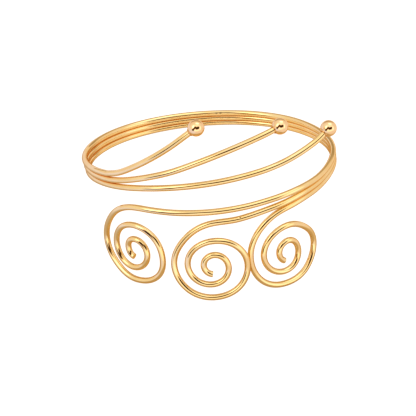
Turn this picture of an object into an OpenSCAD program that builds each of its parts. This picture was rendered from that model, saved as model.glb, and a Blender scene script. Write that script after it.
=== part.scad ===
/* [Hoop] */
// Outside width of the hoop, side to side
hoop_width = 85; // [80:1:90]
// Outside depth of the hoop, front to back
hoop_depth = 72; // [68:1:76]

/* [Wires] */
// Thickness of each of the three round wires
wire_d = 2; // [1.8:0.05:2.1]
// Room between two wires where they lie side by side, filled by solder
seam = 0.05; // [0.04:0.01:0.1]
// Thickness of each run of solder in the groove between two wires
solder_d = 0.9; // [0.7:0.05:1.1]
// Length of each run of solder
solder_length = 5; // [4:0.5:6]

/* [Ball ends] */
// Diameter of each ball
ball_d = 5.2; // [4.8:0.1:5.4]
// Clearance between a wire and the bore of its ball
bore_gap = 0.05; // [0.04:0.01:0.1]

/* [Front arms] */
// Rise of the stack from the back to the ball of the lower wire
arm_rise = 12.9; // [12:0.1:14]
// Extra rise of the upper wire at its ball
upper_fan = 14.9; // [14:0.1:16]
// Extra rise of the middle wire at its ball
middle_fan = 10.3; // [9.5:0.1:11]
// Extra rise of the lower wire at its ball
lower_fan = 5; // [4.5:0.1:5.5]
// How far the straight end of the lower wire stands off the hoop at its ball
lower_flare = 4.35; // [4:0.05:4.7]

/* [Front runs and coils] */
// Fall of the stack from the back to the front
run_drop = 7; // [6.5:0.1:7.5]
// Nominal radius of the flat coils
coil_radius = 14; // [13.5:0.1:14.4]
// Drop of the middle of the upper wire's coil below the back
upper_coil_drop = 20.1; // [19.6:0.1:20.6]
// Drop of the middle of the middle wire's coil below the back
middle_coil_drop = 23.2; // [22.8:0.1:23.6]
// Drop of the middle of the lower wire's coil below the back
lower_coil_drop = 23.5; // [23.1:0.1:23.9]
// How far the middle coil stands out in front of its neighbours
coil_out = 1.7; // [1.6:0.1:2]

/* [Hidden] */

// Places on the cuff are given by three values. "Around" is the angle round the arm, in degrees from the
// front, growing to the wearer's front left, past the back (180) and on round the right side. "Height" is
// along the arm, from the middle wire at the back. "Out" is away from the arm, from the hoop's own line.
UPPER = 0;
MIDDLE = 1;
LOWER = 2;
gold = [0.88, 0.68, 0.4];
sides = 12;
wire_r = wire_d / 2;
pitch = wire_d + seam;
half_w = (hoop_width - wire_d) / 2;
half_d = (hoop_depth - wire_d) / 2;
run_step = 5;
coil_step = 13;
link_step = 1.6;

// Each wire's stations: the ball, the end of the run, the coil's middle, in degrees around, then the
// first and last angle of the coil, in degrees turned from its top.
// columns: ball, run_end, coil_at, coil_start, coil_end
BALL = 0;
RUN_END = 1;
COIL_AT = 2;
COIL_START = 3;
COIL_END = 4;
stations = [
    [5.2, 388, 399,  8, 893], // upper wire, left coil
    [-32, 349, 361,  6, 886], // middle wire, middle coil
    [-55.3, 323, 326, 20, 872], // lower wire, right coil
];
coil_drop = [upper_coil_drop, middle_coil_drop, lower_coil_drop];

// How the three wires rise together towards the balls.
// columns: around, share of arm_rise
arm_line = [
    [-56, 1], [-52, 0.98], [-43, 0.89], [-28, 0.741], [-9, 0.602], [39, 0.293], [50, 0.213], [90, 0.021],
    [108, 0], [125, 0],
];

// How the three wires sink together towards the coils.
// columns: around, share of run_drop
run_line = [
    [90, 0], [105, 0.01], [125, 0.03], [235, 0.05], [262, 0.1], [285, 0.29], [303, 0.52], [321, 0.66],
    [333.5, 0.78], [345, 0.89], [377, 1.015], [388, 0.99],
];

// How the three arms fan out above the stack, and how the lower one leaves the hoop's line.
// columns: around, share of upper_fan
upper_fan_line = [[5, 1], [10.5, 0.835], [16, 0.665], [28.5, 0.345], [36, 0.19], [44, 0.06], [52, 0]];
// columns: around, share of middle_fan
middle_fan_line = [
    [-32, 1], [-18.5, 0.877], [-6.5, 0.722], [5.5, 0.524], [18, 0.3], [32, 0.125], [42, 0.035], [50, 0],
];
// columns: around, share of lower_fan, share of lower_flare
lower_fan_line = [
    [-55.3, 1, 1], [-50, 0.6, 0.76], [-44, 0.37, 0.52], [-36, 0.16, 0.27], [-27, 0.045, 0.09], [-15, 0, 0],
];

// How the middle and lower runs part from the stack just before their coils.
// columns: around, share of wire_d for the middle wire, share of wire_d for the lower wire
part_line = [[300, 0, 0], [312, 0.09, 0.13], [325, 0.34, 0.42], [338, 0.53, 0.52], [349, 0.83, 0.55]];

// How the stack leans, the lower wire outwards and the upper one inwards, and how it all bows inwards.
// columns: around, lean as a share of wire_d, bow as a share of wire_d
lean_line = [
    [40, 0, 0], [60, -0.17, -0.1], [80, -0.2, -0.12], [110, -0.14, 0.02], [140, 0.06, 0.07],
    [180, 0.24, 0.03], [225, 0.3, 0], [250, 0.28, -0.16], [275, 0.05, -0.02], [300, -0.15, -0.05],
    [320, -0.15, 0], [340, 0, 0],
];

// How far each coil reaches from its middle as it winds in.
// columns: degrees turned from the top, share of coil_radius for the upper, middle and lower wires
coil_line = [
    [  0, 1.07,  1.025, 1.115],
    [ 45, 0.95,  0.905, 0.99],
    [ 90, 0.94,  0.905, 0.91],
    [135, 0.79,  0.845, 0.87],
    [180, 0.785, 0.79,  0.79],
    [225, 0.82,  0.78,  0.82],
    [270, 0.705, 0.735, 0.845],
    [315, 0.66,  0.69,  0.71],
    [360, 0.625, 0.645, 0.68],
    [450, 0.55,  0.575, 0.605],
    [540, 0.47,  0.445, 0.455],
    [630, 0.335, 0.31,  0.305],
    [720, 0.265, 0.295, 0.29],
    [810, 0.165, 0.222, 0.222],
    [900, 0.19,  0.19,  0.212],
];

// Reading a table at x: its rows are joined by a smooth curve, which stays level past both ends.
function row_of(table, x, i = 0) = i >= len(table) - 2 || x < table[i + 1][0] ? i : row_of(table, x, i + 1);
function rise(table, i, col) = (table[i + 1][col] - table[i][col]) / (table[i + 1][0] - table[i][0]);
function slope(table, i, col) =
    i == 0 ? rise(table, 0, col)
    : i == len(table) - 1 ? rise(table, i - 1, col)
    : let (before = table[i][0] - table[i - 1][0], after = table[i + 1][0] - table[i][0])
      (rise(table, i - 1, col) * after + rise(table, i, col) * before) / (before + after);
function blend(t, from, to, slope_from, slope_to) =
    (2 * t ^ 3 - 3 * t ^ 2 + 1) * from + (t ^ 3 - 2 * t ^ 2 + t) * slope_from
    + (3 * t ^ 2 - 2 * t ^ 3) * to + (t ^ 3 - t ^ 2) * slope_to;
function read(table, x, col = 1) =
    let (
        at = max(table[0][0], min(table[len(table) - 1][0], x)),
        i = row_of(table, at),
        span = table[i + 1][0] - table[i][0]
    )
    blend(
        (at - table[i][0]) / span, table[i][col], table[i + 1][col],
        slope(table, i, col) * span, slope(table, i + 1, col) * span
    );

// The stack as the three wires lie side by side, and each wire's height and place out from it.
function per_degree(around) = norm([half_w * cos(around), half_d * sin(around)]) * PI / 180;
function stack(around) = arm_rise * read(arm_line, around) - run_drop * read(run_line, around);
function steepness(around) = (stack(around + 1) - stack(around - 1)) / (2 * per_degree(around));
function spacing(around) =
    sqrt(pitch ^ 2 - (wire_d * read(lean_line, around)) ^ 2) * sqrt(1 + steepness(around) ^ 2);
function height(wire, around) =
    stack(around) + (1 - wire) * spacing(around)
    + (wire == UPPER ? upper_fan * read(upper_fan_line, around) : 0)
    + (wire == MIDDLE ? middle_fan * read(middle_fan_line, around) : 0)
    + (wire == LOWER ? lower_fan * read(lower_fan_line, around) : 0)
    - (wire == UPPER ? 0 : wire_d * read(part_line, around, wire));
function out(wire, around) =
    wire_d * ((wire - 1) * read(lean_line, around) + read(lean_line, around, 2))
    + (wire == LOWER ? lower_flare * read(lower_fan_line, around, 2) : 0);

// Rows of [around, height, out] along each wire: the run from the ball, a short link, then the coil.
function run_rows(wire) =
    let (
        from = stations[wire][BALL],
        to = stations[wire][RUN_END],
        n = ceil((to - from) / run_step)
    )
    [for (i = [0:n]) let (a = from + (to - from) * i / n) [a, height(wire, a), out(wire, a)]];
function coil_row(wire, turned, out_from) =
    let (
        at = stations[wire][COIL_AT],
        reach = coil_radius * read(coil_line, turned, wire + 1),
        ease = min(turned / 180, 1)
    )
    [
        at + reach * sin(turned) / per_degree(at),
        reach * cos(turned) - coil_drop[wire],
        out_from + ((wire == MIDDLE ? coil_out : 0) - out_from) * ease ^ 2 * (3 - 2 * ease),
    ];
function coil_rows(wire, out_from) =
    let (
        from = stations[wire][COIL_START],
        to = stations[wire][COIL_END],
        n = ceil((to - from) / coil_step)
    )
    [for (i = [0:n]) coil_row(wire, from + (to - from) * i / n, out_from)];
function link_rows(wire, run, coil) =
    let (
        scale_at = per_degree(stations[wire][COIL_AT]),
        last = run[len(run) - 1],
        flat = function (v) [v[0] * scale_at, v[1]],
        gap = norm(flat(coil[0]) - flat(last)),
        leave = last - run[len(run) - 2],
        arrive = coil[1] - coil[0],
        n = floor(gap / link_step)
    )
    [
        for (i = [1:1:n - 1])
        let (
            p = blend(
                i / n, last, coil[0],
                leave * gap / norm(flat(leave)), arrive * gap / norm(flat(arrive))
            )
        )
        [p[0], p[1], last[2]]
    ];
function rows(wire) =
    let (run = run_rows(wire), coil = coil_rows(wire, run[len(run) - 1][2]))
    concat(run, link_rows(wire, run, coil), coil);

// From [around, height, out] to a point, with the arm along Z and the front towards -Y.
function point(row) = [-(half_w + row[2]) * sin(row[0]), -(half_d + row[2]) * cos(row[0]), row[1]];
function outward(around) = let (v = [-sin(around) / half_w, -cos(around) / half_d, 0]) v / norm(v);

// The cuff rests as it would on a table, leaning back on three places: the lower wire at the back, this far
// around, and the right and left coils, this far turned from their tops.
back_rests_at = 174;
right_rests_at = 195;
left_rests_at = 160;
rest_back = point([back_rests_at, height(LOWER, back_rests_at), out(LOWER, back_rests_at)]);
rest_right = point(coil_row(LOWER, right_rests_at, 0));
rest_left = point(coil_row(UPPER, left_rests_at, 0));
up = let (v = cross(rest_right - rest_back, rest_left - rest_back)) v / norm(v) * sign(v[2]);
across = let (v = [1, 0, 0] - up * up[0]) v / norm(v);
back = cross(up, across);
function turned(p) = [p * across, p * back, p * up];

// Centre line and outward direction of each wire, turned to the rest position, before the last shift.
routes = [for (wire = [UPPER:LOWER]) [for (row = rows(wire)) [turned(point(row)), turned(outward(row[0]))]]];
function heading(route, i) =
    let (v = route[min(i + 1, len(route) - 1)][0] - route[max(i - 1, 0)][0]) v / norm(v);
function ring(route, i) =
    let (
        along = heading(route, i),
        n = route[i][1] - along * (route[i][1] * along),
        side = n / norm(n),
        other = cross(along, side)
    )
    [for (k = [0:sides - 1]) route[i][0] + wire_r * (side * cos(360 * k / sides) + other * sin(360 * k / sides))];

// The lowest point of the coils and the back stands on the floor, with the origin under the middle.
skin = [for (route = routes) for (i = [0:len(route) - 1]) each ring(route, i)];
function span_of(axis) =
    let (v = concat(
        [for (p = skin) p[axis]],
        [for (route = routes) each [route[0][0][axis] - ball_d / 2, route[0][0][axis] + ball_d / 2]]
    ))
    [min(v), max(v)];
function middle(v) = (v[0] + v[1]) / 2;
origin = [middle(span_of(0)), middle(span_of(1)), span_of(2)[0]];

// A tube of rings along one wire's route, with plain cut ends.
module wire(route) {
    n = len(route);
    polyhedron(
        points = [for (i = [0:n - 1]) each ring(route, i)],
        faces = concat(
            [[for (k = [0:sides - 1]) k]],
            [
                for (i = [0:n - 2], k = [0:sides - 1])
                let (next = (k + 1) % sides)
                [i * sides + k, (i + 1) * sides + k, (i + 1) * sides + next, i * sides + next]
            ],
            [[for (k = [0:sides - 1]) n * sides - 1 - k]]
        )
    );
}

// One short run of solder in the groove between two neighbouring wires, centred at one place around.
module solder(upper, around) {
    half = solder_length / 2 / per_degree(around);
    hull()
        for (a = [around - half, around + half])
            translate(turned((
                point([a, height(upper, a), out(upper, a)])
                + point([a, height(upper + 1, a), out(upper + 1, a)])
            ) / 2))
                sphere(d = solder_d, $fn = 8);
}

// The three wires, soldered to one another at intervals round the back.
module wires() {
    color(gold)
        translate(-origin) {
            for (route = routes)
                wire(route);
            for (upper = [UPPER, MIDDLE], around = [115:30:235])
                solder(upper, around);
        }
}

// A ball, bored along the end of its wire to just past its middle.
module ball(which) {
    centre = routes[which][0][0];
    way = heading(routes[which], 0);
    color(gold)
        translate(centre - origin)
            difference() {
                sphere(d = ball_d, $fn = 48);
                rotate([0, acos(way[2]), atan2(way[1], way[0])])
                    translate([0, 0, -bore_gap])
                        cylinder(d = wire_d + 2 * bore_gap, h = ball_d, $fn = 32);
            }
}

module ball_upper() ball(UPPER);
module ball_middle() ball(MIDDLE);
module ball_lower() ball(LOWER);

wires();
ball_upper();
ball_middle();
ball_lower();
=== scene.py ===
"""An upper arm cuff of three gold wires, each with a ball at one end and a flat coil at the other."""
import math

import bmesh
import bpy
import mathutils
import numpy as np
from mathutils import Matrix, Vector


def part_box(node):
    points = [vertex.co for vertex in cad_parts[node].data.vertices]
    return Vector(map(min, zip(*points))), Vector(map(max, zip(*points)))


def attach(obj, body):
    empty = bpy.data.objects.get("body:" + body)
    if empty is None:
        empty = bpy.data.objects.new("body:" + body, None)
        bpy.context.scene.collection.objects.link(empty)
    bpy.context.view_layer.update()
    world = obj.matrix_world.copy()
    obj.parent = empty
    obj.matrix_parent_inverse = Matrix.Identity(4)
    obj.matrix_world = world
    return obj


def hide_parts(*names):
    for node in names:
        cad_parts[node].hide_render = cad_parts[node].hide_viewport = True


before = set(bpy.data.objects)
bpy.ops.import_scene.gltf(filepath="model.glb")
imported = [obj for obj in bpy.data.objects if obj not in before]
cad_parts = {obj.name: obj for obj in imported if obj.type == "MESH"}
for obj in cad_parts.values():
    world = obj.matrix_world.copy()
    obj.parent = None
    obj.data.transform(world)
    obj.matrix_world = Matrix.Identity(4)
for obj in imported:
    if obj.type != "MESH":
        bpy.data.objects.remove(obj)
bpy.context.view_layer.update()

# The three wires
# Round brass wire, 2 mm thick, gold plated and polished. Each length is bent into one oval hoop: it rises
# from the back to a ball at the front, and comes round the other side into a flat coil. Lengths are metres.
MM = 0.001
WIRE = 2.0 * MM
SEAM = 0.05 * MM
SIDE_BY_SIDE = WIRE + SEAM
HALF_WIDTH = 41.5 * MM
HALF_DEPTH = 35.0 * MM
ARM_RISE = 12.9 * MM
UPPER_FAN = 14.9 * MM
MIDDLE_FAN = 10.3 * MM
LOWER_FAN = 5.0 * MM
LOWER_FLARE = 4.35 * MM
RUN_DROP = 7.0 * MM
COIL_RADIUS = 14.0 * MM
UPPER, MIDDLE, LOWER = 0, 1, 2

# Each wire: its ball, the end of its run and its coil's middle, in degrees round the arm from the front,
# then the coil's first and last angle from its top, its drop below the back, and how far it stands out.
WIRES = [
    dict(ball=5.2, run_end=388, coil_at=399, start=8, end=893, drop=20.1 * MM, out=0.0),
    dict(ball=-32, run_end=349, coil_at=361, start=6, end=886, drop=23.2 * MM, out=1.7 * MM),
    dict(ball=-55.3, run_end=323, coil_at=326, start=20, end=872, drop=23.5 * MM, out=0.0),
]
# columns: degrees round the arm, share of ARM_RISE
ARM_LINE = [
    (-56, 1), (-52, 0.98), (-43, 0.89), (-28, 0.741), (-9, 0.602), (39, 0.293), (50, 0.213), (90, 0.021),
    (108, 0), (125, 0),
]
# columns: degrees round the arm, share of RUN_DROP
RUN_LINE = [
    (90, 0), (105, 0.01), (125, 0.03), (235, 0.05), (262, 0.1), (285, 0.29), (303, 0.52), (321, 0.66),
    (333.5, 0.78), (345, 0.89), (377, 1.015), (388, 0.99),
]
# columns: degrees round the arm, share of UPPER_FAN; the same for MIDDLE_FAN; the same for LOWER_FAN and
# LOWER_FLARE, the straight end's stand off the hoop
UPPER_FAN_LINE = [(5, 1), (10.5, 0.835), (16, 0.665), (28.5, 0.345), (36, 0.19), (44, 0.06), (52, 0)]
MIDDLE_FAN_LINE = [
    (-32, 1), (-18.5, 0.877), (-6.5, 0.722), (5.5, 0.524), (18, 0.3), (32, 0.125), (42, 0.035), (50, 0),
]
LOWER_FAN_LINE = [
    (-55.3, 1, 1), (-50, 0.6, 0.76), (-44, 0.37, 0.52), (-36, 0.16, 0.27), (-27, 0.045, 0.09), (-15, 0, 0),
]
# columns: degrees round the arm, drop of the middle and of the lower run, as shares of WIRE
PART_LINE = [(300, 0, 0), (312, 0.09, 0.13), (325, 0.34, 0.42), (338, 0.53, 0.52), (349, 0.83, 0.55)]
# columns: degrees round the arm, lean and bow of the stack, as shares of WIRE
LEAN_LINE = [
    (40, 0, 0), (60, -0.17, -0.1), (80, -0.2, -0.12), (110, -0.14, 0.02), (140, 0.06, 0.07),
    (180, 0.24, 0.03), (225, 0.3, 0), (250, 0.28, -0.16), (275, 0.05, -0.02), (300, -0.15, -0.05),
    (320, -0.15, 0), (340, 0, 0),
]
# columns: degrees turned from the coil's top, share of COIL_RADIUS for the upper, middle and lower wires
COIL_LINE = [
    (0, 1.07, 1.025, 1.115), (45, 0.95, 0.905, 0.99), (90, 0.94, 0.905, 0.91), (135, 0.79, 0.845, 0.87),
    (180, 0.785, 0.79, 0.79), (225, 0.82, 0.78, 0.82), (270, 0.705, 0.735, 0.845), (315, 0.66, 0.69, 0.71),
    (360, 0.625, 0.645, 0.68), (450, 0.55, 0.575, 0.605), (540, 0.47, 0.445, 0.455),
    (630, 0.335, 0.31, 0.305), (720, 0.265, 0.295, 0.29), (810, 0.165, 0.222, 0.222),
    (900, 0.19, 0.19, 0.212),
]


def blend(t, start, end, start_slope, end_slope):
    """The cubic that leaves `start` and reaches `end` with the two given slopes, as t goes from 0 to 1."""
    return (
        (2 * t**3 - 3 * t**2 + 1) * start + (t**3 - 2 * t**2 + t) * start_slope
        + (3 * t**2 - 2 * t**3) * end + (t**3 - t**2) * end_slope
    )


def read(table, at, column=1):
    """A table's column at the angles `at`: a smooth curve through its rows, level past both ends.

    The slope at a row is the mean of the two neighbouring chords' slopes, each weighted by the other's span.
    """
    rows = np.array(table, float)
    x, y = rows[:, 0], rows[:, column]
    span, chord = np.diff(x), np.diff(y) / np.diff(x)
    inner = (chord[:-1] * span[1:] + chord[1:] * span[:-1]) / (span[:-1] + span[1:])
    slope = np.concatenate([chord[:1], inner, chord[-1:]])
    at = np.clip(at, x[0], x[-1])
    i = np.clip(np.searchsorted(x, at, side="right") - 1, 0, len(x) - 2)
    return blend((at - x[i]) / span[i], y[i], y[i + 1], slope[i] * span[i], slope[i + 1] * span[i])


def per_degree(around):
    """Length along the oval hoop for one degree round the arm."""
    turn = np.radians(around)
    return np.hypot(HALF_WIDTH * np.cos(turn), HALF_DEPTH * np.sin(turn)) * math.pi / 180


def stack(around):
    """Height of the middle of the stack: the arms' rise less the runs' fall."""
    return ARM_RISE * read(ARM_LINE, around) - RUN_DROP * read(RUN_LINE, around)


def height(wire, around):
    """Height of a wire: the stack's, plus or minus one spacing, plus its own fan, less its own parting.

    The spacing grows where the stack climbs and shrinks where it leans, so that the wires always touch.
    """
    climb = (stack(around + 1) - stack(around - 1)) / (2 * per_degree(around))
    spacing = np.sqrt(SIDE_BY_SIDE**2 - (WIRE * read(LEAN_LINE, around)) ** 2) * np.sqrt(1 + climb**2)
    level = stack(around) + (1 - wire) * spacing
    if wire == UPPER:
        return level + UPPER_FAN * read(UPPER_FAN_LINE, around)
    if wire == MIDDLE:
        level = level + MIDDLE_FAN * read(MIDDLE_FAN_LINE, around)
    if wire == LOWER:
        level = level + LOWER_FAN * read(LOWER_FAN_LINE, around)
    return level - WIRE * read(PART_LINE, around, wire)


def outset(wire, around):
    """How far a wire lies outside the hoop's line: the stack's lean and bow, and the lower end's flare."""
    beside = WIRE * ((wire - 1) * read(LEAN_LINE, around) + read(LEAN_LINE, around, 2))
    return beside + (LOWER_FLARE * read(LOWER_FAN_LINE, around, 2) if wire == LOWER else 0)


def route(wire, run_step, coil_step, link_step):
    """A wire's whole centre line as rows of (degrees round, height, out): its run, a short link, its coil.

    The coil's reach from its middle comes from COIL_LINE, and the link is one cubic between the two.
    """
    w = WIRES[wire]
    around = np.linspace(w["ball"], w["run_end"], math.ceil((w["run_end"] - w["ball"]) / run_step) + 1)
    run = np.stack([around, height(wire, around), outset(wire, around)], 1)
    turned = np.linspace(w["start"], w["end"], math.ceil((w["end"] - w["start"]) / coil_step) + 1)
    reach = COIL_RADIUS * read(COIL_LINE, turned, wire + 1)
    # Over its first half turn the coil eases out to where it stands.
    ease = np.minimum(turned / 180, 1)
    ease = ease**2 * (3 - 2 * ease)
    scale = per_degree(w["coil_at"])
    coil = np.stack(
        [
            w["coil_at"] + reach * np.sin(np.radians(turned)) / scale,
            reach * np.cos(np.radians(turned)) - w["drop"],
            run[-1, 2] + (w["out"] - run[-1, 2]) * ease,
        ],
        1,
    )
    flat = np.array([scale, 1.0])
    gap = np.linalg.norm((coil[0, :2] - run[-1, :2]) * flat)
    leave, arrive = run[-1, :2] - run[-2, :2], coil[1, :2] - coil[0, :2]
    leave = leave * gap / np.linalg.norm(leave * flat)
    arrive = arrive * gap / np.linalg.norm(arrive * flat)
    t = np.linspace(0, 1, max(2, math.floor(gap / link_step)) + 1)[1:-1, None]
    link = blend(t, run[-1, :2], coil[0, :2], leave, arrive)
    link = np.concatenate([link, np.full((len(link), 1), run[-1, 2])], 1)
    return np.concatenate([run, link, coil])


def on_hoop(rows):
    """Points from (degrees round, height, out): an oval round the arm, with the front towards -Y."""
    turn = np.radians(rows[:, 0])
    return np.stack(
        [-(HALF_WIDTH + rows[:, 2]) * np.sin(turn), -(HALF_DEPTH + rows[:, 2]) * np.cos(turn), rows[:, 1]], 1
    )


def unit(v):
    """Each row of v at length one."""
    return v / np.linalg.norm(v, axis=-1, keepdims=True)


def away(around):
    """Unit directions away from the arm: square to the oval hoop at the angles `around`."""
    turn = np.radians(around)
    return unit(np.stack([-np.sin(turn) / HALF_WIDTH, -np.cos(turn) / HALF_DEPTH, np.zeros(len(turn))], 1))


def on_run(wire, around):
    """Points of a wire's run at the angles `around`, before the cuff is laid down."""
    return on_hoop(np.stack([around, height(wire, around), outset(wire, around)], 1))


def on_coil(wire, turned):
    """One point of a coil's outer turn, on the hoop's own oval, before the cuff is laid down."""
    w = WIRES[wire]
    turn = math.radians(turned)
    reach = COIL_RADIUS * read(COIL_LINE, turned, wire + 1)
    sideways = reach * math.sin(turn) / per_degree(w["coil_at"])
    return on_hoop(np.array([[w["coil_at"] + sideways, reach * math.cos(turn) - w["drop"], 0]]))[0]


# The cuff leans back as it rests by itself, on the lower wire at the back and on the outer turn of the
# right and left coils. Three points of those places give the plane that it stands on.
BACK_RESTS_AT = 174.0
RIGHT_RESTS_AT = 195.0
LEFT_RESTS_AT = 160.0
rest_back = on_run(LOWER, np.array([BACK_RESTS_AT]))[0]
rest_up = np.cross(on_coil(LOWER, RIGHT_RESTS_AT) - rest_back, on_coil(UPPER, LEFT_RESTS_AT) - rest_back)
rest_up *= np.sign(rest_up[2]) / np.linalg.norm(rest_up)
rest_across = unit(np.array([1.0, 0, 0]) - rest_up * rest_up[0])
REST = np.stack([rest_across, np.cross(rest_up, rest_across), rest_up])

# Steps along the run and round the coil in degrees, and along the link between them.
RUN_STEP = 0.5
COIL_STEP = 2.0
LINK_STEP = 0.3 * MM
routes = [route(wire, RUN_STEP, COIL_STEP, LINK_STEP) for wire in (UPPER, MIDDLE, LOWER)]
lines = [on_hoop(rows) @ REST.T for rows in routes]

# The centre lines are then moved to where the model's wires lie: over their middle and down to the table.
low, high = (np.array(v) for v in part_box("wires"))
every = np.concatenate(lines)
sideways_shift = ((low + high) / 2)[:2] - (every.min(0) + every.max(0))[:2] / 2
SHIFT = np.append(sideways_shift, low[2] + WIRE / 2 - every[:, 2].min())
lines = [line + SHIFT for line in lines]


def grid_mesh(name, points, attributes=()):
    """A mesh from a grid of points, row by row, with closed rows, a UV map and named vertex attributes.

    Each quad joins point (i, k) to (i+1, k), (i+1, k+1) and (i, k+1); the last column joins the first. The
    UV map runs once round the piece and once along it.
    """
    rows, columns = points.shape[:2]
    i, k = np.meshgrid(np.arange(rows - 1), np.arange(columns), indexing="ij")
    after = (k + 1) % columns
    this, below = i * columns, (i + 1) * columns
    quads = np.stack([this + k, below + k, below + after, this + after], -1).reshape(-1, 4)
    mesh = bpy.data.meshes.new(name)
    mesh.vertices.add(rows * columns)
    mesh.vertices.foreach_set("co", points.reshape(-1).astype(np.float32))
    mesh.loops.add(quads.size)
    mesh.loops.foreach_set("vertex_index", quads.reshape(-1).astype(np.int32))
    mesh.polygons.add(len(quads))
    mesh.polygons.foreach_set("loop_start", np.arange(0, quads.size, 4, dtype=np.int32))
    mesh.polygons.foreach_set("use_smooth", np.ones(len(quads), bool))
    mesh.update(calc_edges=True)
    layer = mesh.uv_layers.new(name="UVMap")
    across = np.stack([k, k, k + 1, k + 1], -1) / columns
    length = np.stack([i, i + 1, i + 1, i], -1) / (rows - 1)
    layer.data.foreach_set("uv", np.stack([across, length], -1).astype(np.float32).reshape(-1))
    for label, values in attributes:
        kind = "FLOAT_VECTOR" if values.ndim == 3 else "FLOAT"
        mesh.attributes.new(label, kind, "POINT").data.foreach_set(
            "vector" if values.ndim == 3 else "value", values.reshape(-1).astype(np.float32)
        )
    return mesh


def closed_ends(mesh, rows, columns):
    """Fills the first and the last row of a grid mesh, so that the piece is one closed skin."""
    work = bmesh.new()
    work.from_mesh(mesh)
    work.verts.ensure_lookup_table()
    first = [work.verts[k] for k in range(columns)]
    last = [work.verts[(rows - 1) * columns + k] for k in range(columns)]
    for ring in (first, last[::-1]):
        work.faces.new(ring)
    bmesh.ops.recalc_face_normals(work, faces=work.faces)
    work.to_mesh(mesh)
    work.free()


def frame_along(line, outward):
    """Per point: the direction along the line, then the outward and the side direction square to it."""
    along = np.empty_like(line)
    along[1:-1] = line[2:] - line[:-2]
    along[0], along[-1] = line[1] - line[0], line[-1] - line[-2]
    along = unit(along)
    out = unit(outward - along * (outward * along).sum(1, keepdims=True))
    return along, out, np.cross(along, out)


# Small marks that a file or the pliers left: a pair of pits on the back, a nick before the middle coil.
# columns: wire, degrees round the arm, degrees round the wire from its outer side, width
MARKS = [
    (UPPER, 185.0, 168, 0.42 * MM),
    (UPPER, 186.9, 166, 0.42 * MM),
    (MIDDLE, 348.5, 45, 0.55 * MM),
]
MARK_DEPTH = 0.12 * MM
AROUND_WIRE = 32
END_ROUND = 0.14 * MM
GROOVE_REACH = WIRE / 4

wire_meshes = []
for wire, name in ((UPPER, "wire_upper"), (MIDDLE, "wire_middle"), (LOWER, "wire_lower")):
    rows, line = routes[wire], lines[wire]
    along, out, side = frame_along(line, away(rows[:, 0]) @ REST.T)
    # The cut end in the coil: three more rings round its edge.
    quarter = np.radians([30, 60, 90])
    rings = len(quarter)
    tip = line[-1] + along[-1] * END_ROUND * np.sin(quarter)[:, None]
    centre = np.concatenate([line, tip])
    radius = np.concatenate([np.full(len(line), WIRE / 2), WIRE / 2 - END_ROUND * (1 - np.cos(quarter))])
    out, side = (np.concatenate([v, np.repeat(v[-1:], rings, 0)]) for v in (out, side))
    travelled = np.concatenate([[0], np.cumsum(np.linalg.norm(np.diff(centre, axis=0), axis=1))])
    turn = np.arange(AROUND_WIRE) * 2 * math.pi / AROUND_WIRE
    spoke = out[:, None] * np.cos(turn)[:, None] + side[:, None] * np.sin(turn)[:, None]

    # Marks: the skin sinks by their depth times a bell of the distance from each mark's middle.
    sink = np.zeros(spoke.shape[:2])
    for marked, mark_around, mark_turn, mark_width in MARKS:
        if marked == wire:
            i = (rows[:, 0] >= mark_around).argmax()
            wrap = (turn - math.radians(mark_turn) + math.pi) % (2 * math.pi) - math.pi
            distance = np.hypot((travelled - travelled[i])[:, None], wrap * WIRE / 2)
            sink += MARK_DEPTH * np.exp(-((distance / (mark_width / 2)) ** 2))
    points = centre[:, None] + spoke * (radius[:, None] - sink)[..., None]

    # How close the skin lies to the wires beside it: 1 in the groove between them, 0 from GROOVE_REACH on.
    # It counts only where both wires are on their runs.
    groove = np.zeros(spoke.shape[:2])
    for other in (wire - 1, wire + 1):
        if UPPER <= other <= LOWER:
            last = min(WIRES[wire]["run_end"], WIRES[other]["run_end"])
            both_run = (np.maximum.accumulate(rows[:, 0]) <= last) & (rows[:, 0] >= WIRES[other]["ball"])
            away_from = points[: len(rows)] - (on_run(other, rows[:, 0]) @ REST.T + SHIFT)[:, None]
            away_from -= along[:, None] * (away_from * along[:, None]).sum(-1, keepdims=True)
            gap = np.linalg.norm(away_from, axis=-1) - WIRE / 2
            near = np.clip(1 - gap / GROOVE_REACH, 0, 1) * both_run[:, None]
            groove[: len(rows)] = np.maximum(groove[: len(rows)], near)

    # The plate's own coordinates: a circle round the wire, and the way along it in wire thicknesses.
    skin = np.broadcast_arrays(np.cos(turn)[None], np.sin(turn)[None], (travelled / WIRE)[:, None])
    skin = np.stack(skin, -1)
    mesh = grid_mesh(name, points, [("skin", skin), ("groove", groove), ("pit", sink / MARK_DEPTH)])
    closed_ends(mesh, len(points), AROUND_WIRE)
    wire_meshes.append(mesh)


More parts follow.
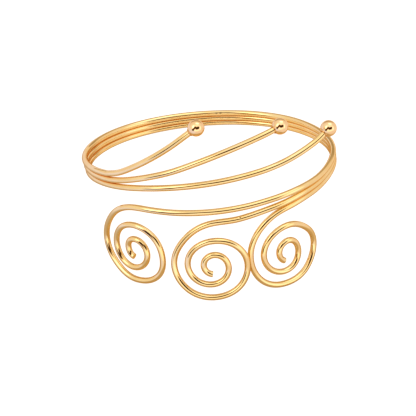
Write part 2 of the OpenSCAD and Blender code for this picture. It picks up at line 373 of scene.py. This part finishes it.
class Signal:
    """A shader socket. Sums with it add their own Math nodes, and node() adds a node of any other kind."""

    def __init__(self, tree, socket=None):
        self.tree, self.socket = tree, socket

    def node(self, kind, settings=None, inputs=None, output=0):
        """Adds a node: first its settings, then its sockets' values or links."""
        made = self.tree.nodes.new(kind)
        for name, value in (settings or {}).items():
            setattr(made, name, value)
        for name, value in (inputs or {}).items():
            if isinstance(value, Signal):
                self.tree.links.new(value.socket, made.inputs[name])
            else:
                made.inputs[name].default_value = value
        return Signal(self.tree, made.outputs[output] if len(made.outputs) else None)

    def maths(self, operation, first, second):
        """A Math node on two values."""
        return self.node("ShaderNodeMath", {"operation": operation}, {0: first, 1: second})

    def __add__(self, other):
        return self.maths("ADD", self, other)

    __radd__ = __add__

    def __sub__(self, other):
        return self.maths("SUBTRACT", self, other)

    def __rsub__(self, other):
        return self.maths("SUBTRACT", other, self)

    def __mul__(self, other):
        return self.maths("MULTIPLY", self, other)

    __rmul__ = __mul__

    def __truediv__(self, other):
        return self.maths("DIVIDE", self, other)

    def __pow__(self, other):
        return self.maths("POWER", self, other)

    def most(self, other):
        """The greater of the two."""
        return self.maths("MAXIMUM", self, other)

    def least(self, other):
        """The smaller of the two."""
        return self.maths("MINIMUM", self, other)

    def step(self, low, high):
        """0 below low, 1 above high, and a smooth rise between them (or a fall, where low > high)."""
        return self.node(
            "ShaderNodeMapRange", {"interpolation_type": "SMOOTHSTEP"},
            {"Value": self, "From Min": low, "From Max": high, "To Min": 0.0, "To Max": 1.0},
        )

    def mix(self, first, second):
        """The colour `first` where this is 0 and `second` where it is 1."""
        return self.node("ShaderNodeMix", {"data_type": "RGBA"}, {"Factor": self, 6: first, 7: second}, 2)


def empty_material(name):
    """A material without nodes, and the Signal that its nodes start from."""
    made = bpy.data.materials.new(name)
    made.use_nodes = True
    made.node_tree.nodes.clear()
    return made, Signal(made.node_tree)


def add_piece(mesh, material):
    """The piece that shows a mesh in a material, riding on the cuff's one body."""
    mesh.materials.append(material)
    piece = bpy.data.objects.new(mesh.name, mesh)
    bpy.context.collection.objects.link(piece)
    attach(piece, "root")
    return piece


PLATE_PALE = (0.94, 0.725, 0.375, 1.0)
PLATE_DEEP = (0.91, 0.665, 0.295, 1.0)
PAINTED_GROOVE_SHADE = (0.86, 0.29, 0.025, 1.0)
PIT_SHADE = (0.16, 0.08, 0.03, 1.0)
EDGE_TINT = (1.0, 0.81, 0.6, 1.0)


def plated_wire(name):
    """Polished plate on drawn wire: slow colour drift, fine lengthwise lines, painted shade and gold-on-gold
    reflection in the grooves, painted shade in the pits.
    """
    made, start = empty_material(name)
    skin = start.node("ShaderNodeAttribute", {"attribute_name": "skin"}, output=1)
    groove = start.node("ShaderNodeAttribute", {"attribute_name": "groove"}, output=2)
    pit = start.node("ShaderNodeAttribute", {"attribute_name": "pit"}, output=2)
    place = start.node("ShaderNodeTexCoord", output=3)

    # Colour patches of about 6 mm, drawn lines 0.1 mm wide and 11 mm long, and slow ripples 6 mm long.
    drift = start.node("ShaderNodeTexNoise", inputs={"Vector": place, "Scale": 160.0, "Detail": 2.0})
    stretched = start.node("ShaderNodeMapping", inputs={"Vector": skin, "Scale": (1.0, 1.0, 0.02)})
    lines_drawn = start.node("ShaderNodeTexNoise", inputs={"Vector": stretched, "Scale": 9.0, "Detail": 3.0})
    slow = start.node("ShaderNodeMapping", inputs={"Vector": skin, "Scale": (0.5, 0.5, 0.35)})
    ripples = start.node("ShaderNodeTexNoise", inputs={"Vector": slow, "Scale": 1.0, "Detail": 1.0})

    colour = drift.step(0.3, 0.7).mix(PLATE_PALE, PLATE_DEEP)
    # Painted shade and gold-on-gold reflection: the grooves between the wires turn deep orange.
    colour = groove.step(0.3, 0.95).mix(colour, PAINTED_GROOVE_SHADE)
    # Painted shade: the pits and the nick turn dark brown.
    colour = pit.step(0.15, 0.7).mix(colour, PIT_SHADE)
    # Nearly a mirror, a little duller along the drawn lines, in the grooves and in the pits.
    rough = 0.035 + lines_drawn * 0.05 + groove * 0.1 + pit.least(1.0) * 0.3
    relief = lines_drawn * 0.3 + ripples * 0.5
    bumped = start.node("ShaderNodeBump", inputs={"Height": relief, "Strength": 0.12, "Distance": 0.04 * MM})
    surface = start.node(
        "ShaderNodeBsdfPrincipled",
        inputs={
            "Base Color": colour, "Metallic": 1.0, "Roughness": rough, "Normal": bumped,
            "Specular Tint": EDGE_TINT,
        },
    )
    start.node("ShaderNodeOutputMaterial", inputs={"Surface": surface})
    return made


wire_gold = plated_wire("wire_gold")
for mesh in wire_meshes:
    piece = add_piece(mesh, wire_gold)
    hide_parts("wires")

# The solder between the wires
# Brass solder, run into the two grooves where the wires lie side by side round the back, then plated with
# them. It fills the bottom of each groove as a thin hollow-faced strip, and thins out over its last degrees.
SOLDER_HALF = 0.34 * MM
SOLDER_BITE = 0.01 * MM
SOLDER_FROM, SOLDER_TO = 96.0, 258.0
SOLDER_STEP = 0.5
SOLDER_TAPER = 3.0
SOLDER_THINNEST = 0.02
# columns: place across the strip as a share of SOLDER_HALF, height as a share of half the gap there
SOLDER_SECTION = np.array([
    (-1, 0), (-0.86, 1), (-0.5, 1), (0.5, 1), (0.86, 1),
    (1, 0), (0.86, -1), (0.5, -1), (-0.5, -1), (-0.86, -1),
])
# The solder's deep orange is painted shade and gold-on-gold reflection of the groove it fills.
SOLDER_SHADE_DARK = (0.5, 0.16, 0.015, 1.0)
SOLDER_SHADE_LIGHT = (0.62, 0.24, 0.04, 1.0)


def solder_strip(name, upper):
    """A strip along the mid-line of two wires, whose section follows their skins and closes at its edges.

    At s to the side of the mid-line the two skins are pitch - 2 * sqrt(r^2 - s^2) apart, and the strip bites
    a little into both.
    """
    around = np.linspace(SOLDER_FROM, SOLDER_TO, round((SOLDER_TO - SOLDER_FROM) / SOLDER_STEP) + 1)
    pair = [on_run(wire, around) @ REST.T + SHIFT for wire in (upper, upper + 1)]
    rise = unit(pair[0] - pair[1])
    middle = (pair[0] + pair[1]) / 2
    along = unit(np.gradient(middle, axis=0))
    out = np.cross(rise, along)
    out *= np.sign((out * (away(around) @ REST.T)).sum(1))[:, None]
    s = SOLDER_SECTION[:, 0] * SOLDER_HALF
    half_gap = SIDE_BY_SIDE / 2 - np.sqrt((WIRE / 2) ** 2 - s**2) + SOLDER_BITE
    top = SOLDER_SECTION[:, 1] * half_gap
    from_end = np.minimum(around - SOLDER_FROM, SOLDER_TO - around) / SOLDER_TAPER
    taper = np.sin(np.clip(from_end, SOLDER_THINNEST, 1) * math.pi / 2)[:, None, None]
    points = middle[:, None] + taper * (out[:, None] * s[:, None] + rise[:, None] * top[:, None])
    mesh = grid_mesh(name, points)
    closed_ends(mesh, len(points), len(s))
    return mesh


def plated_solder(name):
    """Unpolished plate over solder: rougher than the wires, with fine flow ripples, and darker with painted
    groove shade and gold-on-gold reflection.
    """
    made, start = empty_material(name)
    place = start.node("ShaderNodeTexCoord", output=3)
    # Ripples of about 1 mm.
    flow = start.node("ShaderNodeTexNoise", inputs={"Vector": place, "Scale": 900.0, "Detail": 3.0})
    colour = flow.step(0.3, 0.7).mix(SOLDER_SHADE_DARK, SOLDER_SHADE_LIGHT)
    bumped = start.node("ShaderNodeBump", inputs={"Height": flow, "Strength": 0.5, "Distance": 0.05 * MM})
    surface = start.node(
        "ShaderNodeBsdfPrincipled",
        inputs={"Base Color": colour, "Metallic": 1.0, "Roughness": 0.25 + flow * 0.2, "Normal": bumped},
    )
    start.node("ShaderNodeOutputMaterial", inputs={"Surface": surface})
    return made


solder_painted_shade = plated_solder("solder_painted_shade")
for upper, name in ((UPPER, "solder_upper_middle"), (MIDDLE, "solder_middle_lower")):
    piece = add_piece(solder_strip(name, upper), solder_painted_shade)
    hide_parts("wires")

# The balls
# Turned brass balls, 5.2 mm across, drilled from one side to just past the middle, pushed onto the wires'
# ends and held by a little solder at the mouth of the bore. They are polished to a mirror and plated.
BALL = 5.2 * MM
BORE = WIRE + 0.1 * MM
BORE_END = -0.05 * MM
BORE_CONE = 0.01 * MM
COLLAR = 0.26 * MM
COLLAR_RISE = 0.30 * MM
COLLAR_SHARE = 0.97
BROWN_FROM = 0.83 * BALL / 2
BROWN_OVER = 0.1 * MM
ROWS_OVER_BALL, ROWS_OVER_COLLAR, AROUND_BALL = 61, 13, 72
POLE = 0.004 * MM
BALL_PALE = (0.96, 0.72, 0.41, 1.0)
BALL_DEEP = (0.93, 0.65, 0.33, 1.0)
COLLAR_BROWN = (0.72, 0.36, 0.09, 1.0)


def ball_profile():
    """The ball's outline from its far pole to the mouth, over a rounded solder collar and down the bore.

    Rows of (distance along the axis from the middle, distance from the axis). The collar is half a wave
    outwards along the axis while it closes in on the wire. The first and last point stay just off the axis.
    """
    mouth = math.asin((BORE / 2 + COLLAR) / (BALL / 2))
    swing = np.linspace(0, math.pi - mouth, ROWS_OVER_BALL)
    sphere = np.stack([-np.cos(swing), np.sin(swing)], 1) * BALL / 2
    edge = sphere[-1]
    swell = np.linspace(0, math.pi, ROWS_OVER_COLLAR)[1:]
    inwards = COLLAR * COLLAR_SHARE * (1 - np.cos(swell)) / 2
    collar = np.stack([edge[0] + COLLAR_RISE * np.sin(swell), edge[1] - inwards], 1)
    bore_end = np.array([[BORE_END + BORE_CONE, collar[-1, 1]], [BORE_END, 0.0]])
    outline = np.concatenate([sphere, collar, bore_end])
    outline[0, 1] = outline[-1, 1] = POLE
    return outline


def ball_mesh(name, middle, axis):
    """The outline turned about the axis that runs from the ball's middle out along its wire."""
    outline = ball_profile()
    # Any direction well off the axis gives the two that are square to it.
    helper = np.array([0, 0, 1.0]) if abs(axis[2]) < 0.9 else np.array([1.0, 0, 0])
    first = unit(np.cross(axis, helper))
    second = np.cross(axis, first)
    turn = np.arange(AROUND_BALL) * 2 * math.pi / AROUND_BALL
    spoke = first * np.cos(turn)[:, None] + second * np.sin(turn)[:, None]
    points = middle + outline[:, None, :1] * axis + outline[:, None, 1:] * spoke[None]
    # The solder's brown comes in over the last tenth of a millimetre before the collar.
    solder = np.clip((outline[:, 0] - BROWN_FROM) / BROWN_OVER, 0, 1)
    solder = np.broadcast_to(solder[:, None], points.shape[:2])
    mesh = grid_mesh(name, points, [("solder", solder)])
    closed_ends(mesh, len(points), AROUND_BALL)
    return mesh


def mirror_plate(name):
    """Mirror-polished plate: hair-fine scratches two ways, faint haze, darker solder at the bore."""
    made, start = empty_material(name)
    place = start.node("ShaderNodeTexCoord", output=3)
    solder = start.node("ShaderNodeAttribute", {"attribute_name": "solder"}, output=2)
    # Patches of haze about 2.4 mm wide, and hairs 1.1 mm long and 0.1 mm wide.
    haze = start.node("ShaderNodeTexNoise", inputs={"Vector": place, "Scale": 420.0, "Detail": 3.0})
    scratches = []
    for turned in ((0.4, 0.3, 0.5), (1.2, 0.8, 2.1)):
        drawn = {"Vector": place, "Rotation": turned, "Scale": (1.0, 12.0, 1.0)}
        drawn = start.node("ShaderNodeMapping", inputs=drawn)
        hairs = start.node("ShaderNodeTexNoise", inputs={"Vector": drawn, "Scale": 900.0, "Detail": 2.0})
        scratches.append(hairs.step(0.62, 0.72))
    scratch = scratches[0].most(scratches[1])
    colour = haze.step(0.3, 0.7).mix(BALL_PALE, BALL_DEEP)
    colour = (solder * 0.85).mix(colour, COLLAR_BROWN)
    relief = haze + scratch * 0.1
    bumped = start.node("ShaderNodeBump", inputs={"Height": relief, "Strength": 0.2, "Distance": 0.03 * MM})
    surface = start.node(
        "ShaderNodeBsdfPrincipled",
        inputs={
            "Base Color": colour, "Metallic": 1.0, "Normal": bumped,
            "Roughness": 0.01 + haze * 0.02 + scratch * 0.05 + solder * 0.2,
            "Specular Tint": EDGE_TINT,
        },
    )
    start.node("ShaderNodeOutputMaterial", inputs={"Surface": surface})
    return made


ball_gold = mirror_plate("ball_gold")
for wire, name in ((UPPER, "ball_upper"), (MIDDLE, "ball_middle"), (LOWER, "ball_lower")):
    low, high = (np.array(v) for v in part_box(name))
    # The bore points from the wire's end to where the wire is just outside the ball.
    line = lines[wire]
    outside = (np.linalg.norm(line - line[0], axis=1) >= 0.6 * BALL).argmax()
    mesh = ball_mesh(name + "_bead", (low + high) / 2, unit(line[outside] - line[0]))
    piece = add_piece(mesh, ball_gold)
    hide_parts(name)

# The camera
# It looks down at the leaning cuff from the front, a little from the left, from 42 cm away.
LOOK_DOWN, LOOK_ACROSS, LOOK_ROLL = np.radians([50.83, 3.08, 0.50])
DISTANCE = 420 * MM
LENS_MM, SENSOR_MM = 106.0, 36.0
NEAREST = 10 * MM
TARGET = np.array([-0.78, -0.56, 0.84]) * MM

ahead = np.array([math.sin(LOOK_ACROSS), math.cos(LOOK_ACROSS), 0.0])
forward = ahead * math.cos(LOOK_DOWN) - np.array([0, 0, math.sin(LOOK_DOWN)])
level = unit(np.cross(forward, [0, 0, 1.0]))
upright = np.cross(level, forward)
view_right = level * math.cos(LOOK_ROLL) + upright * math.sin(LOOK_ROLL)
view_up = upright * math.cos(LOOK_ROLL) - level * math.sin(LOOK_ROLL)
camera = bpy.data.objects.new("camera", bpy.data.cameras.new("camera"))
bpy.context.collection.objects.link(camera)
placed = np.eye(4)
placed[:3] = np.stack([view_right, view_up, -forward, TARGET - forward * DISTANCE], 1)
camera.matrix_world = mathutils.Matrix(placed.tolist())
camera.data.sensor_width = SENSOR_MM
camera.data.lens = LENS_MM
camera.data.clip_start = NEAREST
bpy.context.scene.camera = camera
bpy.context.scene.view_settings.view_transform = "Standard"

# The table
# A white table that glows, with a dull share that the tent lights. What the gold mirrors of it is painted
# light
# and shade, and warmer: a yellow painted glow under the cuff, painted shadow in a brown patch in front of it
# and in a brown ring round it. It is cooler on the left and paler on the right.
TABLE_HALF = 3.0
TABLE_WHITE = (1.02, 1.02, 1.02, 1)
TABLE_DULL = (0.2, 0.17, 0.12, 1)
UNDER_CUFF_GLOW, OPEN_TABLE = (0.87, 0.66, 0.4, 1), (0.74, 0.69, 0.74, 1)
FRONT_PATCH_SHADOW = (0.52, 0.32, 0.11, 1)
RING_SHADOW = (0.4, 0.28, 0.16, 1)
LEFT_TABLE, LEFT_RING_SHADOW = (0.74, 0.76, 1.12, 1), (0.42, 0.39, 0.44, 1)
RIGHT_TABLE, RIGHT_RING_SHADOW = (0.79, 0.71, 0.76, 1), (0.52, 0.38, 0.23, 1)
# The painted shadow patch is an oval: how far its middle lies in front, half its width, half its depth, and
# how far its edge fades outwards and inwards, as shares of its size.
PATCH_AHEAD, PATCH_WIDE, PATCH_DEEP = 40.0 * MM, 52.63 * MM, 47.62 * MM
PATCH_FADE = (1.2, 0.8)
# Distances from under the cuff's middle: where the open table starts and is full, where the painted shadow
# ring starts and is full, and where it ends and is last full.
OPEN_FROM = (28 * MM, 40 * MM)
RING_FROM, RING_TO = (30 * MM, 42 * MM), (100 * MM, 55 * MM)
# Distances to one side: where its own colours start and are full.
SIDE_FROM = (35 * MM, 60 * MM)

table_mesh = bpy.data.meshes.new("floor")
corners = [(x * TABLE_HALF, y * TABLE_HALF, 0) for x, y in ((-1, -1), (1, -1), (1, 1), (-1, 1))]
table_mesh.from_pydata(corners, [], [(0, 1, 2, 3)])
table = bpy.data.objects.new("floor", table_mesh)
bpy.context.collection.objects.link(table)
paper, start = empty_material("white_table")
seen_directly = start.node("ShaderNodeLightPath", output=0)
place = start.node("ShaderNodeTexCoord", output=3)
reach = start.node("ShaderNodeVectorMath", {"operation": "LENGTH"}, {0: place}, 1)
leftwards, rightwards = (
    start.node("ShaderNodeVectorMath", {"operation": "DOT_PRODUCT"}, {0: place, 1: (side, 0, 0)}, 1)
    for side in (-1, 1)
)
patch_scale = (1 / PATCH_WIDE, 1 / PATCH_DEEP, 1)
patch_middle = (0, PATCH_AHEAD / PATCH_DEEP, 0)
in_front_shadow = {"Vector": place, "Location": patch_middle, "Scale": patch_scale}
in_front_shadow = start.node("ShaderNodeMapping", inputs=in_front_shadow)
in_front_shadow = start.node("ShaderNodeVectorMath", {"operation": "LENGTH"}, {0: in_front_shadow}, 1)
in_ring_shadow = reach.step(*RING_FROM) * reach.step(*RING_TO)

# What the gold mirrors: a painted glow under the cuff, then painted shadow in a patch in front and a ring
# round it.
mirrored = reach.step(*OPEN_FROM).mix(UNDER_CUFF_GLOW, OPEN_TABLE)
mirrored = in_front_shadow.step(*PATCH_FADE).mix(mirrored, FRONT_PATCH_SHADOW)
mirrored = in_ring_shadow.mix(mirrored, RING_SHADOW)
mirrored = leftwards.step(*SIDE_FROM).mix(mirrored, in_ring_shadow.mix(LEFT_TABLE, LEFT_RING_SHADOW))
mirrored = rightwards.step(*SIDE_FROM).mix(mirrored, in_ring_shadow.mix(RIGHT_TABLE, RIGHT_RING_SHADOW))
shown = seen_directly.mix(mirrored, TABLE_WHITE)
glow = start.node("ShaderNodeEmission", inputs={"Color": shown, "Strength": 1.0})
dull = start.node("ShaderNodeBsdfDiffuse", inputs={"Color": TABLE_DULL})
surface = start.node("ShaderNodeAddShader", inputs={0: glow, 1: dull})
start.node("ShaderNodeOutputMaterial", inputs={"Surface": surface})
table_mesh.materials.append(paper)

# The tent
# A white tent round the table, with a few brighter panels, and one dark gap that the camera looks through.
# It is dimmer and warmer to the sides, and warmest on the right and behind the cuff.
TENT_LIGHT = 1.02
SIDE_DIM, FAR_DIM, BEHIND_DIM, GAP_DIM = 0.06, 0.12, 0.36, 0.96
TENT_NEAR, TENT_FAR = (1.0, 0.985, 0.9, 1.0), (1.0, 0.86, 0.8, 1.0)
TENT_RIGHT = (1.0, 0.72, 0.38, 1.0)
TENT_BEHIND = (1.0, 0.78, 0.55, 1.0)
GAP_BROWN = (1.0, 0.42, 0.1, 1.0)

# Places in the tent are named by where a mirror ball shows them: (x, y) from the middle of the ball's
# picture, divided by how far the ball's skin faces the camera there.
# First, where each dimming or colour starts and is full, from the middle, rightwards or upwards.
SIDE_DIM_FROM, FAR_DIM_FROM, BEHIND_DIM_FROM = (0.5, 1.0), (1.0, 1.9), (0.9, 1.35)
FAR_FROM, RIGHT_FROM, BEHIND_FROM = (0.35, 1.1), (1.0, 1.8), (0.8, 1.25)
FAR_SHARE = 0.9
# columns: x, y, half width, half height, softness, light added
PANELS = [
    (-0.32, 0.08, 0.15, 0.22, 0.5, 1.2),
    (0.6, -0.06, 0.13, 0.3, 0.5, 0.5),
    (0.18, 0.6, 0.24, 0.15, 0.5, 1.1),
    (0.0, -0.3, 0.45, 0.16, 0.6, 0.35),
    (0.05, 0.25, 0.4, 0.15, 0.6, 0.25),
]
# The gap's wide end: x, y, half width, half height, softness.
GAP_END = (-0.4, -0.28, 0.15, 0.15, 0.4)
# columns: x and y of one end, x and y of the other end, half width, softness
GAP_BARS = [
    (-0.4, -0.28, -0.1, 0.03, 0.11, 0.6),
    (-0.1, 0.03, 0.1, -0.08, 0.12, 0.6),
    (0.1, -0.08, 0.29, 0.0, 0.15, 0.45),
]

world = bpy.data.worlds.new("tent")
bpy.context.scene.world = world
world.use_nodes = True
world.node_tree.nodes.clear()
start = Signal(world.node_tree)
direction = start.node("ShaderNodeTexCoord", output=0)


def along_axis(axis):
    """How far the direction into the tent points along one axis of the view."""
    pair = {0: direction, 1: axis.tolist()}
    return start.node("ShaderNodeVectorMath", {"operation": "DOT_PRODUCT"}, pair, 1)


# Straight behind the cuff the facing would be nothing, and a division by it has no answer.
NEVER_ZERO = 0.0001
facing = along_axis(-forward) + (1 + NEVER_ZERO)
ball_x = along_axis(view_right) / facing
ball_y = along_axis(view_up) / facing
far = (ball_x ** 2.0 + ball_y ** 2.0) ** 0.5


def spot(x, y, wide, tall, soft):
    """1 inside an oval at (x, y) in the ball's picture, fading to 0 over `soft` of its size."""
    size = ((ball_x - x) / wide) ** 2.0 + ((ball_y - y) / tall) ** 2.0
    return size.step(1 + soft, 1 - soft)


def bar(x0, y0, x1, y1, wide, soft):
    """1 on a round-ended bar from (x0, y0) to (x1, y1) in the ball's picture, fading out over `soft`."""
    dx, dy = x1 - x0, y1 - y0
    t = ((ball_x - x0) * dx + (ball_y - y0) * dy) / (dx * dx + dy * dy)
    t = t.most(0.0).least(1.0)
    gap = ((ball_x - x0 - t * dx) ** 2.0 + (ball_y - y0 - t * dy) ** 2.0) ** 0.5
    return gap.step(wide * (1 + soft), wide * (1 - soft))


strength = TENT_LIGHT - SIDE_DIM * far.step(*SIDE_DIM_FROM) - FAR_DIM * far.step(*FAR_DIM_FROM)
strength = strength - BEHIND_DIM * ball_y.step(*BEHIND_DIM_FROM)
for *shape, added in PANELS:
    strength = strength + added * spot(*shape)
in_gap = spot(*GAP_END)
for shape in GAP_BARS:
    in_gap = in_gap.most(bar(*shape))
strength = strength * (1.0 - in_gap * GAP_DIM)

tent = (far.step(*FAR_FROM) * FAR_SHARE).mix(TENT_NEAR, TENT_FAR)
tent = ball_x.step(*RIGHT_FROM).mix(tent, TENT_RIGHT)
tent = ball_y.step(*BEHIND_FROM).mix(tent, TENT_BEHIND)
tent = in_gap.mix(tent, GAP_BROWN)
sky = start.node("ShaderNodeBackground", inputs={"Color": tent, "Strength": strength})
start.node("ShaderNodeOutputWorld", inputs={"Surface": sky})
